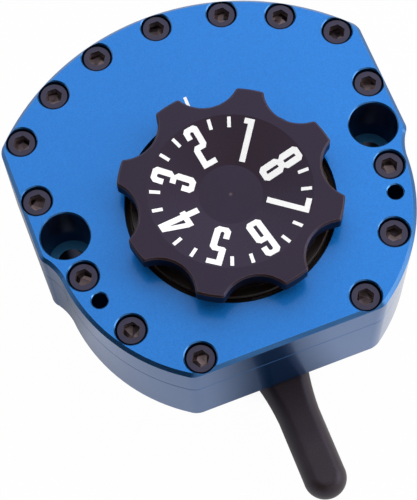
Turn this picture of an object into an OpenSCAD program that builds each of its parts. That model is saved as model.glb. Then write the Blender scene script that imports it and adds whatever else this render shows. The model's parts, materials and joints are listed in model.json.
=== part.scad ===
// Motorcycle steering damper: a rotary vane damper with a click dial on top and a link arm below.
// Millimetres. The origin is midway between the two mounting holes, on the mounting face under the base.
// +Z points up to the dial, and the link arm points along -Y.

/* [Body] */
// Width across the side flats
body_w = 88.9; // [74:0.1:108]
// Height from the mounting face to the top of the cover
body_h = 29.3; // [21:0.1:36]
// Thickness of the top cover
cover_t = 10; // [6.2:0.1:11]
// Rotor axis to the rear edge
rear_edge = 52.1; // [48:0.1:62]
// Rotor axis to the line through the centres of the rear corners
rear_corner_y = 29.9; // [26:0.05:38]
// Width of the front flat, between the centres of its corners
front_flat = 41.7; // [30:0.02:46]
// Step from the side flats in to the round front
ear_step = 2.65; // [2:0.05:4]
// Radius of the corner of each ear
ear_r = 3.2; // [2:0.1:6]
// Centre of an ear's corner, in front of the line through the mounting holes
ear_drop = 2.24; // [1:0.01:4]
// Radius of the hollow between an ear and the round front
ear_fillet_r = 12.8; // [4:0.1:16]
// Radius of the two rear corners
rear_corner_r = 4.2; // [2:0.1:6]
// Radius of the two front corners
front_corner_r = 4.8; // [3:0.1:9]
// Bevel round the top of the cover
top_bevel = 0.85; // [0.4:0.05:1.2]
// Bevel round the foot of the base
foot_bevel = 0.8; // [0.4:0.05:1.2]
// Small bevel on both edges of the joint line
joint_bevel = 0.15; // [0.1:0.05:0.3]

/* [Mounting] */
// Rotor axis to the line through the mounting holes
mount_offset = 6.14; // [4:0.01:9]
// Mounting hole inset from the side flats
mount_inset = 7.03; // [6.6:0.01:9]
// Mounting hole diameter
mount_hole_d = 6.8; // [5.5:0.1:8]
// Counterbore diameter for the bolt head
mount_head_d = 11.24; // [9:0.01:13]
// Thickness left under the bolt head
mount_seat_t = 12.8; // [5:0.1:15]

/* [Cover screws] */
// Thread diameter
screw_d = 4.17; // [3:0.01:5.1]
// Head diameter
screw_head_d = 6.86; // [5.5:0.01:8.3]
// Head height
screw_head_h = 4.17; // [3:0.01:4.6]
// Hex socket across flats
screw_hex = 3.57; // [2.5:0.01:4]
// Hex socket depth
screw_hex_depth = 2.1; // [1.5:0.1:2.6]
// Bevel round the head, also of the fill plug and the arm bolt
head_bevel = 0.35; // [0.2:0.05:0.5]
// Head top below the cover top
screw_sink = 0.8; // [0.3:0.1:1]
// Length under the head
screw_len = 12.7; // [9:0.1:13]
// Gap round the head
screw_head_gap = 0.15; // [0.1:0.01:0.4]
// Broken edge of the holes in the cover
edge_break = 0.25; // [0.1:0.05:0.3]
// Rear row: inset from the rear edge
rear_screw_inset = 3.7; // [3.2:0.1:5]
// Rear row: outermost screw to the centre of the corner, along the edge
rear_screw_corner = 2.16; // [2:0.01:5]
// Rear row: places each side, as shares of the way to the outermost screw
rear_screw_shares = [0, 0.363, 0.681, 1]; // [0:0.001:1]
// Side screws: inset from the side flats
side_screw_inset = 3.83; // [3.7:0.01:6]
// Side screws: distance behind the rotor axis
side_screw_y = 16.58; // [15:0.01:19]
// Front ring: inset from the round front
ring_screw_inset = 4.67; // [4:0.01:6]
// Front ring: angle of the first screw, from straight back
ring_first_angle = 96.8; // [95:0.1:100]
// Front ring: turn of the last screw past the centre of the front corner
ring_corner_turn = 2.7; // [-2:0.1:5]
// Front ring: screws on each side
ring_screw_count = 3; // [2:1:4]
// Jacking hole diameter
jack_d = 3.68; // [3:0.01:4.5]
// Jacking hole: share of the way from the first screw of the front ring to the next
jack_share = 0.415; // [0.4:0.005:0.6]
// Dowel pin diameter
dowel_d = 3; // [2:0.1:4]
// Dowel pin length
dowel_len = 5; // [3:0.5:6]

/* [Oil chamber] */
// Floor thickness
floor_t = 7; // [6.5:0.1:8]
// Wall behind the chamber
rear_wall = 9.8; // [9:0.1:12]
// Least wall between the chamber and the side flats
side_wall = 9.65; // [9:0.05:14]
// Swing of the vane each way
swing = 45; // [35:1:46]
// Free angle past the end of the swing
swing_margin = 2.5; // [1:0.5:3]
// Half the angle of the vane
vane_half_angle = 8; // [5:0.5:10]
// Gap all round the vane and hub
vane_gap = 0.05; // [0.03:0.01:0.1]
// Vane seal thickness
vane_seal_t = 2.4; // [1.5:0.1:4]
// Vane seal depth
vane_seal_depth = 4; // [2:0.5:6]
// Cover seal width
cover_seal_w = 1.8; // [1.4:0.1:2.2]
// Cover seal height
cover_seal_h = 1.3; // [1:0.1:1.8]
// Wall between the chamber and the cover seal
cover_seal_wall = 1.2; // [1:0.1:1.6]
// Fill plug thread diameter
plug_d = 5; // [4:0.5:6]
// Fill plug head diameter
plug_head_d = 8; // [7:0.5:9]
// Fill plug head height
plug_head_h = 2.2; // [1.6:0.1:2.6]
// Fill plug hex socket across flats
plug_hex = 3; // [2:0.5:3.5]
// Fill plug seal thickness
plug_seal_t = 1; // [0.6:0.1:1.4]
// Fill plug distance behind the rotor axis
plug_y = 27; // [20:0.5:30]

/* [Shaft] */
// Shaft diameter
shaft_d = 16; // [13:0.1:19.2]
// Hub wall round the shaft
hub_wall = 3; // [2.5:0.1:4]
// Bush wall
bush_t = 1.5; // [1:0.1:2]
// Upper bush length
upper_bush_h = 2.2; // [1.8:0.1:2.4]
// Lower bush length
lower_bush_h = 3.8; // [2.5:0.1:4]
// Shaft seal width
shaft_seal_w = 2.5; // [2:0.1:3]
// Shaft seal height
shaft_seal_h = 2; // [1.5:0.1:2.2]
// Snap ring thickness, also of the ring round the dial
snap_t = 0.8; // [0.6:0.05:1]
// Snap ring depth in its groove
snap_bite = 0.7; // [0.5:0.05:0.9]
// Snap ring gap angle
snap_gap_angle = 20; // [8:1:40]

/* [Dial] */
// Knob diameter over the lobes
knob_d = 50.72; // [46:0.01:61]
// Knob top above the cover
knob_rise = 7.2; // [6.8:0.1:9]
// Thickness of the lobed rim
knob_rim_t = 4.2; // [3:0.1:4.4]
// Number of lobes
lobes = 8; // [6:1:10]
// Radius of the hollows between lobes
scallop_r = 8.3; // [6:0.1:10]
// Depth of the hollows
scallop_depth = 4.36; // [3:0.01:5]
// Angle of the first lobe, clockwise from straight back
lobe_angle = 31.5; // [0:0.5:45]
// Bevel on the rim's edges
knob_bevel = 0.4; // [0.2:0.05:0.6]
// Flat rim between the hollows and the dish
dish_rim = 2.5; // [1.5:0.1:4]
// Diameter of the dish floor
dish_floor_d = 14.3; // [12:0.1:18]
// Dish depth
dish_depth = 2.5; // [1.5:0.1:2.6]
// Radius of the turning mark in the centre of the dish
centre_mark_r = 0.4; // [0.3:0.05:0.6]
// Step from the bottoms of the hollows in to the hub under the rim
hub_inset = 0.2; // [0.1:0.05:1]
// Recess diameter in the cover
recess_d = 47.62; // [46:0.01:50]
// Recess depth
recess_depth = 3; // [2.6:0.1:3.4]
// Disc diameter above its flange
disc_d = 45.6; // [44:0.1:47]
// Flange thickness of the disc
disc_flange_t = 1.2; // [1:0.1:1.4]
// Disc top below the cover top
disc_sink = 0.3; // [0.1:0.05:0.5]
// Gap under the disc
disc_gap = 0.1; // [0.05:0.01:0.15]
// Clicks in a full turn
clicks = 24; // [12:2:30]
// Click ball diameter
ball_d = 2.5; // [2:0.1:3]
// Wall between the stop groove and the track of the click balls
track_wall = 0.6; // [0.4:0.1:1.2]
// Click dimple radius
dimple_r = 0.9; // [0.8:0.05:1.1]
// Click dimple depth
dimple_depth = 0.5; // [0.3:0.05:0.7]
// Spring wire diameter
spring_wire = 0.35; // [0.2:0.05:0.4]
// Spring turns
spring_turns = 4; // [3:1:4]
// Room for the spring above the ball
spring_room = 2.8; // [2.6:0.1:3]
// Stop pin diameter
stop_d = 2; // [1.5:0.1:2.5]
// Stop groove depth
stop_depth = 1.2; // [0.8:0.1:1.3]
// Turn back to the lowest setting
dial_back = 35.2; // [10:0.1:60]
// Turn on to the highest setting
dial_on = 279.8; // [240:0.1:285]
// Knob screw diameter
knob_screw_d = 2.5; // [2:0.1:3]
// Knob screw head diameter
knob_screw_head_d = 4.8; // [4:0.1:5.4]
// Knob screw length
knob_screw_len = 5.2; // [4:0.1:5.4]

/* [Valve] */
// Needle stem diameter
needle_d = 5; // [4:0.1:5.6]
// Needle tip diameter
tip_d = 4; // [3:0.1:4.4]
// Needle rise in one turn of the dial
needle_lead = 2; // [1:0.1:2]
// Bypass port diameter
port_d = 2.4; // [1.6:0.1:2.8]
// Valve seat wall
seat_wall = 1.8; // [1.4:0.1:2]
// Valve seat length
seat_h = 6; // [5:0.1:7]
// Guide boss diameter
boss_d = 14; // [13:0.1:14.4]
// Guide boss height above the recess floor
boss_h = 3.6; // [3.4:0.1:3.8]
// Guide pin diameter
guide_d = 1.2; // [0.8:0.1:1.3]
// Guide pin centre below the top of the boss
guide_drop = 1; // [0.8:0.1:1.2]
// Depth of the needle's keyway
keyway_depth = 0.9; // [0.6:0.1:1]
// Needle seal width
needle_seal_w = 1.1; // [0.8:0.1:1.4]
// Needle seal height
needle_seal_h = 1; // [0.8:0.1:1.1]
// Adjuster nut diameter
nut_d = 12; // [9:0.1:13]
// Adjuster nut height
nut_h = 2.5; // [2:0.1:2.6]

/* [Link arm] */
// Rotor axis to the centre of the rounded end
arm_reach = 58.8; // [50:0.1:75]
// Width of the straight bar
arm_w = 10.1; // [9:0.1:14]
// Thickness
arm_t = 8.5; // [7:0.1:9]
// Gap between the base and the arm
arm_gap = 0.6; // [0.6:0.1:3]
// Diameter of the arm's hub
arm_hub_d = 40; // [34:0.5:46]
// Rotor axis to the start of the flare
arm_flare_y = 46; // [42:0.5:49]
// Diameter of the arm's seat on the shaft
arm_seat_d = 14; // [12:0.1:15]
// Key width
key_w = 3; // [2:0.1:4]
// Key height
key_h = 3; // [2:0.1:4]
// Key length
key_len = 6; // [4:0.1:7]
// Arm bolt thread diameter
arm_bolt_d = 6; // [5:0.5:8]
// Arm bolt head diameter
arm_bolt_head_d = 10; // [8:0.5:12]
// Arm bolt head height
arm_bolt_head_h = 4; // [3:0.5:6]
// Arm bolt hex socket across flats
arm_bolt_hex = 4; // [3:0.5:5]
// Arm bolt length
arm_bolt_len = 14; // [11:0.5:16]
// Arm washer diameter
arm_washer_d = 19; // [17:0.5:24]
// Arm washer thickness
arm_washer_t = 1.4; // [1:0.1:2]

/* [Clearances] */
// Radial running clearance of shafts and sliding parts
run_gap = 0.04; // [0.02:0.01:0.08]
// Radial clearance of fasteners in plain holes
hole_gap = 0.2; // [0.1:0.05:0.4]
// Free space at the end of blind holes and grooves
end_gap = 0.5; // [0.3:0.1:0.8]
// Small face gap between turning pieces
face_gap = 0.2; // [0.1:0.05:0.3]

/* [Hidden] */
$fn = 96;
// Blended arcs overlap by this much, so that they meet in a crisp line
blend = 0.02;
point_tip_r = 0.1;
point_angle = 31;
spring_sides = 6;
spring_rings = 10;
cut = 1;

// Heights
split_z = body_h - cover_t;
seat_under_head_z = body_h - screw_sink - screw_head_h;
recess_z = body_h - recess_depth;
disc_top_z = body_h - disc_sink;
flange_top_z = recess_z + disc_gap + disc_flange_t;
knob_top_z = body_h + knob_rise;
rim_z = knob_top_z - knob_rim_t;
dish_z = knob_top_z - dish_depth;
boss_top_z = recess_z + boss_h;
nut_z = boss_top_z + face_gap;
port_z = floor_t + (split_z - floor_t) / 2;
seat_z = port_z - seat_h / 2;
upper_bush_z = split_z + upper_bush_h;
lower_bush_z = floor_t - lower_bush_h;
shaft_seal_z = lower_bush_z - shaft_seal_h;
snap_z = shaft_seal_z - snap_t;
arm_top_z = -arm_gap;
arm_mid_z = arm_top_z - arm_t / 2;
arm_low_z = arm_top_z - arm_t;
guide_z = boss_top_z - guide_drop;

// Plan of the body
half_w = body_w / 2;
front_r = half_w - ear_step;
mount_x = half_w - mount_inset;
ear_at = [half_w - ear_r, mount_offset - ear_drop];
rear_corner_x = half_w - rear_corner_r;
rear_inner = rear_edge - rear_corner_r;
rear_y = (pow(rear_corner_x, 2) + pow(rear_corner_y, 2) - pow(rear_inner, 2))
    / (2 * (rear_corner_y - rear_inner));
rear_r = rear_edge - rear_y;
rear_corner_angle = atan2(rear_corner_x, rear_corner_y - rear_y);
front_corner_x = front_flat / 2;
front_corner_y = -sqrt(pow(front_r - front_corner_r, 2) - pow(front_corner_x, 2));
front_corner_angle = atan2(front_corner_x, -front_corner_y);
front_edge = front_corner_r - front_corner_y;
ear_distance = norm(ear_at);
fillet_distance = front_r + ear_fillet_r - 2 * blend;
fillet_angle = atan2(ear_at.y, ear_at.x)
    - acos((pow(fillet_distance, 2) + pow(ear_distance, 2) - pow(ear_r + ear_fillet_r - 2 * blend, 2))
        / (2 * fillet_distance * ear_distance));
fillet_at = fillet_distance * [cos(fillet_angle), sin(fillet_angle)];

// Screw places about the rotor axis
function behind(radius, angle) = radius * [sin(angle), cos(angle)];
rear_row_r = rear_r - rear_screw_inset;
rear_row_end = rear_corner_angle - rear_screw_corner / rear_row_r * 180 / PI;
rear_screws = [for (t = rear_screw_shares) [0, rear_y] + behind(rear_row_r, t * rear_row_end)];
ring_r = front_r - ring_screw_inset;
ring_end = 180 - front_corner_angle + ring_corner_turn;
ring_step = (ring_end - ring_first_angle) / (ring_screw_count - 1);
ring_screws = [for (i = [0:ring_screw_count - 1]) behind(ring_r, ring_first_angle + i * ring_step)];
side_screw = [half_w - side_screw_inset, side_screw_y];
right_screws = concat([for (i = [1:len(rear_screws) - 1]) rear_screws[i]], [side_screw], ring_screws);
screws = concat([rear_screws[0]], right_screws, [for (p = right_screws) [-p.x, p.y]]);
dowel_at = behind(ring_r, ring_end - ring_step / 2);
jack_at = behind(ring_r, ring_first_angle + jack_share * ring_step);

// Chamber and rotor
chamber_r = rear_edge - rear_wall;
chamber_half_angle = swing + vane_half_angle + swing_margin;
chamber_half_w = half_w - side_wall;
shaft_r = shaft_d / 2;
hub_r = shaft_r + hub_wall;
bush_r = shaft_r + run_gap + bush_t;
shaft_seal_r = shaft_r + run_gap + shaft_seal_w;

// Dial
recess_r = recess_d / 2;
disc_r = disc_d / 2;
knob_r = knob_d / 2;
lobe_root_r = knob_r - scallop_depth;
dish_r = lobe_root_r - dish_rim;
knob_hub_r = lobe_root_r - hub_inset;
stop_wall = 1.5;
stop_track_r = bush_r + stop_wall + stop_d / 2;
pocket_r = ball_d / 2 + run_gap;
ball_track_r = stop_track_r + stop_d / 2 + run_gap + track_wall + pocket_r;
ball_z = recess_z + run_gap + ball_d / 2;
spring_z = ball_z + ball_d / 2;
spring_top_z = spring_z + spring_room;
spring_r = ball_d / 2 - spring_wire / 2 - run_gap;
dial_ring_z = flange_top_z + run_gap;
boss_clear_r = boss_d / 2 + face_gap;
knob_screw_angles = [30, 150, 270];
ball_angles = [0, 180];
stop_angle = 90;

// Valve
needle_r = needle_d / 2;
tip_r = tip_d / 2;
seat_r = tip_r + run_gap + seat_wall;
travel_down = needle_lead * dial_on / 360;
travel_up = needle_lead * dial_back / 360;
tip_z = port_z + port_d / 2 + face_gap;
tip_cone_h = 1.2;
shoulder_z = seat_z + seat_h + travel_down + end_gap;
needle_top_z = nut_z + nut_h;
needle_seal_z = recess_z - needle_seal_h;
keyway_w = guide_d + 2 * run_gap;
port_clear_angle = 12;
port_angle = vane_half_angle + port_clear_angle;

// Moves what is drawn about the rotor axis to the frame of the mounting holes
module at_axis() {
    translate([0, -mount_offset, 0]) children();
}

// Both sides of the middle plane
module both_sides() {
    children();
    mirror([1, 0, 0]) children();
}

module at(p, z = 0) {
    translate([p.x, p.y, z]) children();
}

module rod(r, z0, z1) {
    translate([0, 0, z0]) cylinder(r = r, h = z1 - z0);
}

module tube(inner, outer, z0, z1) {
    difference() {
        rod(outer, z0, z1);
        rod(inner, z0 - cut, z1 + cut);
    }
}

// Hexagonal prism by its width across flats
module hex_rod(flats, z0, z1) {
    translate([0, 0, z0]) cylinder(r = flats / sqrt(3), h = z1 - z0, $fn = 6);
}

// Conical bottom that a drill leaves below a height
module drill_point(r, z) {
    depth = (r - point_tip_r) * tan(point_angle);
    translate([0, 0, z - depth]) cylinder(r1 = point_tip_r, r2 = r, h = depth);
}

// Head of a cap screw, bevelled at its upper edge
module cap_head(r, z0, z1) {
    rotate_extrude() polygon([[0, z0], [r, z0], [r, z1 - head_bevel], [r - head_bevel, z1], [0, z1]]);
}

// Cut for a hole in the cover, with its edge broken
module cover_hole(r, z0) {
    rise = edge_break + cut;
    rod(r, z0, body_h + cut);
    translate([0, 0, body_h - edge_break]) cylinder(r1 = r, r2 = r + rise, h = rise);
}

// Upright edge of a round piece, with a bevel at the foot and one at the top
module bevel_disc(r, z0, z1, low, high, angle = 360, start = 0) {
    rotate_extrude(angle = angle, start = start)
        polygon([[0, z0], [r - low, z0], [r, z0 + low], [r, z1 - high], [r - high, z1], [0, z1]]);
}

// Straight stretch along Y with both long edges bevelled
module bevel_sides(half, y0, y1, z0, z1, low, high) {
    right = [[half - low, z0], [half, z0 + low], [half, z1 - high], [half - high, z1]];
    left = [for (i = [3:-1:0]) [-right[i].x, right[i].y]];
    translate([0, y1, 0]) rotate([90, 0, 0]) linear_extrude(y1 - y0) polygon(concat(right, left));
}

// Straight stretch along X with its front edge bevelled
module bevel_front(half, y0, y1, z0, z1, low, high) {
    translate([-half, 0, 0]) rotate([90, 0, 90]) linear_extrude(2 * half)
        polygon([[y1, z0], [y0 + low, z0], [y0, z0 + low], [y0, z1 - high], [y0 + high, z1], [y1, z1]]);
}

// Hollow corner between an ear and the round front, with its bevels
module ear_web(z0, z1, low, high) {
    difference() {
        translate([0, 0, z0]) linear_extrude(z1 - z0) polygon([[0, 0], fillet_at, ear_at]);
        at(fillet_at) rotate_extrude()
            polygon([[0, z0 - cut], [ear_fillet_r + low + cut, z0 - cut], [ear_fillet_r, z0 + low],
                [ear_fillet_r, z1 - high], [ear_fillet_r + high + cut, z1 + cut], [0, z1 + cut]]);
    }
}

// The body's outline as a solid between two heights
module body_solid(z0, z1, low, high) {
    at([0, rear_y]) bevel_disc(rear_r, z0, z1, low, high, 2 * rear_corner_angle, 90 - rear_corner_angle);
    bevel_disc(front_r, z0, z1, low, high, 360 - 2 * front_corner_angle, front_corner_angle - 90);
    bevel_sides(half_w, ear_at.y, rear_corner_y, z0, z1, low, high);
    bevel_front(front_corner_x, -front_edge, 0, z0, z1, low, high);
    both_sides() {
        at([rear_corner_x, rear_corner_y]) bevel_disc(rear_corner_r + blend, z0, z1, low, high);
        at([front_corner_x, front_corner_y]) bevel_disc(front_corner_r + blend, z0, z1, low, high);
        at(ear_at) bevel_disc(ear_r + blend, z0, z1, low, high);
        ear_web(z0, z1, low, high);
    }
}

// Fan of a given radius and half angle, pointing straight back
module fan(r, half_angle, z0, z1) {
    translate([0, 0, z0]) rotate_extrude(angle = 2 * half_angle, start = 90 - half_angle)
        square([r, z1 - z0]);
}

// Area that holds the chamber and the hub's bore, grown by a margin
module chamber_area(margin) {
    reach = 2 * chamber_r;
    side = behind(reach, chamber_half_angle);
    out = margin * [cos(chamber_half_angle), -sin(chamber_half_angle)];
    wall = chamber_half_w + margin;
    circle(r = hub_r + vane_gap + margin);
    intersection() {
        circle(r = chamber_r + margin);
        polygon([[0, 0], out, side + out, [0, reach], [-side.x - out.x, side.y + out.y], [-out.x, out.y]]);
        translate([-wall, -reach]) square([2 * wall, 2 * reach]);
    }
}

module seal_ring(z0, z1) {
    translate([0, 0, z0]) linear_extrude(z1 - z0) difference() {
        chamber_area(cover_seal_wall + cover_seal_w);
        chamber_area(cover_seal_wall);
    }
}

// Open ring that springs into a groove
module snap_ring(inner, outer, z0, z1) {
    translate([0, 0, z0]) rotate_extrude(angle = 360 - snap_gap_angle, start = snap_gap_angle / 2 - 90)
        translate([inner, 0]) square([outer - inner, z1 - z0]);
}

module base_body() {
    color("royalblue") at_axis() difference() {
        body_solid(0, split_z, foot_bevel, joint_bevel);
        translate([0, 0, floor_t]) linear_extrude(split_z - floor_t + cut) chamber_area(0);
        rod(bush_r, lower_bush_z, floor_t + cut);
        rod(shaft_seal_r, -cut, lower_bush_z);
        rod(shaft_seal_r + snap_bite, snap_z, shaft_seal_z);
        seal_ring(split_z - cover_seal_h, split_z + cut);
        for (p = screws)
            at(p) rod(screw_d / 2 + run_gap, seat_under_head_z - screw_len - end_gap, split_z + cut);
        both_sides() {
            at([mount_x, mount_offset]) rod(mount_hole_d / 2, -cut, mount_seat_t + cut);
            at([mount_x, mount_offset]) rod(mount_head_d / 2, mount_seat_t, split_z + cut);
            at(dowel_at) rod(dowel_d / 2, split_z - dowel_len / 2, split_z + cut);
        }
        at([0, plug_y]) rod(plug_d / 2 + run_gap, -cut, floor_t + cut);
        at([0, plug_y]) rod(plug_head_d / 2 + hole_gap, -cut, end_gap + plug_head_h + plug_seal_t);
    }
}

module top_cover() {
    color("royalblue") at_axis() difference() {
        union() {
            difference() {
                body_solid(split_z, body_h, joint_bevel, top_bevel);
                cover_hole(recess_r, recess_z);
            }
            rod(boss_d / 2, recess_z - cut, boss_top_z);
        }
        tube(recess_r - cut, recess_r + snap_bite, dial_ring_z, dial_ring_z + snap_t);
        rod(bush_r, split_z - cut, upper_bush_z);
        rod(needle_r + run_gap, split_z, boss_top_z + cut);
        rod(needle_r + run_gap + needle_seal_w, needle_seal_z, recess_z);
        translate([0, 0, guide_z]) rotate([-90, 0, 0]) rod(guide_d / 2, 0, boss_d);
        for (p = screws) at(p) {
            rod(screw_d / 2 + hole_gap, split_z - cut, body_h);
            cover_hole(screw_head_d / 2 + screw_head_gap, seat_under_head_z);
        }
        both_sides() {
            at([mount_x, mount_offset]) cover_hole(mount_head_d / 2, split_z - cut);
            at(jack_at) cover_hole(jack_d / 2, split_z - cut);
            at(dowel_at) rod(dowel_d / 2, split_z - cut, split_z + dowel_len / 2);
        }
        for (i = [0:clicks - 1]) rotate([0, 0, dial_back + i * 360 / clicks]) dimple();
        stop_groove();
    }
}

// Conical dimple in the recess floor for a click ball
module dimple() {
    translate([ball_track_r, 0, recess_z - dimple_depth])
        cylinder(r1 = dimple_r - dimple_depth, r2 = dimple_r + cut, h = dimple_depth + cut);
}

// Arc groove in the recess floor, from one end stop of the dial to the other
module stop_groove() {
    half = stop_d / 2 + run_gap;
    play = 1;
    from = stop_angle - dial_on - play;
    to = stop_angle + dial_back + play;
    translate([0, 0, recess_z - stop_depth]) {
        rotate_extrude(angle = to - from, start = from) translate([stop_track_r - half, 0])
            square([2 * half, stop_depth + cut]);
        for (a = [from, to]) rotate([0, 0, a]) translate([stop_track_r, 0, 0])
            cylinder(r = half + blend, h = stop_depth + cut);
    }
}

module cover_screws() {
    socket_z = body_h - screw_sink - screw_hex_depth;
    color("dimgray") at_axis() for (p = screws) at(p) difference() {
        union() {
            cap_head(screw_head_d / 2, seat_under_head_z, seat_under_head_z + screw_head_h);
            rod(screw_d / 2, seat_under_head_z - screw_len, seat_under_head_z + cut);
        }
        hex_rod(screw_hex, socket_z, body_h);
        drill_point(screw_hex / 2, socket_z);
    }
}

module cover_seal() {
    color("black") at_axis() seal_ring(split_z - cover_seal_h, split_z);
}

module dowel_pins() {
    color("silver") at_axis() both_sides()
        at(dowel_at) rod(dowel_d / 2, split_z - dowel_len / 2, split_z + dowel_len / 2);
}

module upper_bush() {
    color("goldenrod") at_axis() tube(shaft_r + run_gap, bush_r, split_z, upper_bush_z);
}

module lower_bush() {
    color("goldenrod") at_axis() tube(shaft_r + run_gap, bush_r, lower_bush_z, floor_t);
}

module shaft_seal() {
    color("black") at_axis() tube(shaft_r + run_gap, shaft_seal_r, shaft_seal_z, lower_bush_z);
}

module seal_retainer() {
    inner = shaft_seal_r - shaft_seal_w / 2;
    outer = shaft_seal_r + snap_bite - run_gap;
    color("dimgray") at_axis() snap_ring(inner, outer, snap_z, shaft_seal_z);
}

module fill_plug() {
    color("dimgray") at_axis() at([0, plug_y]) difference() {
        union() {
            mirror([0, 0, 1]) cap_head(plug_head_d / 2, -end_gap - plug_head_h, -end_gap);
            rod(plug_d / 2, end_gap, floor_t - end_gap);
        }
        hex_rod(plug_hex, end_gap - cut, plug_head_h);
    }
}

module fill_plug_seal() {
    color("black") at_axis() at([0, plug_y])
        tube(plug_d / 2, plug_head_d / 2, end_gap + plug_head_h, end_gap + plug_head_h + plug_seal_t);
}

module needle_seal() {
    color("black") at_axis()
        tube(needle_r + run_gap, needle_r + run_gap + needle_seal_w, needle_seal_z, recess_z);
}

module needle_guide_pin() {
    color("silver") at_axis() translate([0, 0, guide_z]) rotate([-90, 0, 0])
        rod(guide_d / 2, needle_r - keyway_depth + face_gap, boss_d / 2);
}

module dial_retaining_ring() {
    outer = recess_r + snap_bite - run_gap;
    color("black") at_axis() snap_ring(disc_r + face_gap, outer, dial_ring_z, dial_ring_z + snap_t);
}

module rotor() {
    color("slategray") at_axis() difference() {
        union() {
            rod(hub_r, floor_t + vane_gap, split_z - vane_gap);
            fan(chamber_r - vane_gap, vane_half_angle, floor_t + vane_gap, split_z - vane_gap);
            rod(shaft_r, arm_top_z, upper_bush_z - vane_gap);
            rod(arm_seat_d / 2, arm_low_z + face_gap, arm_top_z + cut);
        }
        vane_slot(floor_t, split_z);
        rod(seat_r, seat_z, upper_bush_z + cut);
        rod(arm_bolt_d / 2 + run_gap, arm_low_z - cut, arm_low_z + arm_bolt_len);
        key_slot();
        ports(hub_r + cut);
    }
}

// Slot in the tip of the vane
module vane_slot(z0, z1) {
    translate([-vane_seal_t / 2, chamber_r - vane_seal_depth, z0])
        cube([vane_seal_t, vane_seal_depth + cut, z1 - z0]);
}

// Two drillings from the valve bore, one to each side of the vane
module ports(reach) {
    both_sides() translate([0, 0, port_z]) rotate([-90, 0, -port_angle]) rod(port_d / 2, 0, reach);
}

// Key of the arm's seat, half in the shaft and half in the arm
module key_slot() {
    translate([-key_w / 2, -arm_seat_d / 2 - key_h / 2, arm_top_z - key_len]) cube([key_w, key_h, key_len]);
}

module vane_seal() {
    color("black") at_axis() intersection() {
        vane_slot(floor_t + vane_gap, split_z - vane_gap);
        rod(chamber_r - vane_gap, floor_t, split_z);
    }
}

module valve_seat() {
    color("goldenrod") at_axis() difference() {
        tube(tip_r + run_gap, seat_r, seat_z, seat_z + seat_h);
        ports(seat_r + cut);
    }
}

// Edge of the arm: a round of the bar's own width, cut flat above and below
module arm_edge(radius) {
    intersection() {
        union() {
            translate([radius - arm_w / 2, 0]) circle(r = arm_w / 2);
            translate([0, -arm_w / 2]) square([radius - arm_w / 2, arm_w]);
        }
        translate([0, -arm_t / 2]) square([radius, arm_t]);
    }
}

module link_arm() {
    bite = 4 * blend;
    bar_r = arm_w / 2 - bite;
    hub = arm_hub_d / 2 - bite;
    flare_r = (pow(arm_flare_y, 2) + pow(bar_r, 2) - pow(hub, 2)) / (2 * (hub - bar_r));
    flare_at = [bar_r + flare_r, -arm_flare_y];
    color("dimgray") at_axis() difference() {
        translate([0, 0, arm_mid_z]) union() {
            rotate_extrude() arm_edge(arm_hub_d / 2);
            arm_bar();
            arm_flare(flare_r, flare_at);
        }
        rod(arm_seat_d / 2 + run_gap, arm_low_z - cut, arm_top_z + cut);
        key_slot();
    }
}

// Straight bar with a rounded end
module arm_bar() {
    intersection() {
        union() {
            rotate([90, 0, 0]) cylinder(r = arm_w / 2, h = arm_reach);
            translate([0, -arm_reach, 0]) rotate([0, 0, -90]) sphere(r = arm_w / 2 + blend);
        }
        translate([-arm_w, -arm_reach - arm_w, -arm_t / 2]) cube([2 * arm_w, arm_reach + arm_w, arm_t]);
    }
}

// Flare from the bar out to the hub, hollowed on both sides
module arm_flare(flare_r, flare_at) {
    hub_touch = flare_at * (arm_hub_d / 2) / norm(flare_at);
    difference() {
        translate([0, 0, -arm_t / 2]) linear_extrude(arm_t)
            polygon([[0, 0], hub_touch, [flare_at.x, hub_touch.y], flare_at, [-flare_at.x, flare_at.y],
                [-flare_at.x, hub_touch.y], [-hub_touch.x, hub_touch.y]]);
        both_sides() at(flare_at) rotate_extrude() difference() {
            translate([0, -arm_t]) square([flare_r + arm_w / 2, 2 * arm_t]);
            translate([flare_r + arm_w / 2, 0]) circle(r = arm_w / 2);
        }
    }
}

module arm_key() {
    color("silver") at_axis() key_slot();
}

module arm_washer() {
    color("silver") at_axis()
        tube(arm_bolt_d / 2 + hole_gap, arm_washer_d / 2, arm_low_z - arm_washer_t, arm_low_z);
}

module arm_bolt() {
    head_z = arm_low_z - arm_washer_t;
    color("dimgray") at_axis() difference() {
        union() {
            mirror([0, 0, 1]) cap_head(arm_bolt_head_d / 2, -head_z, arm_bolt_head_h - head_z);
            rod(arm_bolt_d / 2, head_z - cut, arm_low_z + arm_bolt_len - end_gap);
        }
        hex_rod(arm_bolt_hex, head_z - arm_bolt_head_h - cut, head_z - arm_bolt_head_h / 2);
    }
}

// Cutter for one hollow of the rim, flared at both faces to leave the bevel
module scallop() {
    translate([lobe_root_r + scallop_r, 0, 0]) rotate_extrude()
        polygon([[0, rim_z - cut], [scallop_r + knob_bevel + cut, rim_z - cut],
            [scallop_r, rim_z + knob_bevel], [scallop_r, knob_top_z - knob_bevel],
            [scallop_r + knob_bevel + cut, knob_top_z + cut], [0, knob_top_z + cut]]);
}

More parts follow.
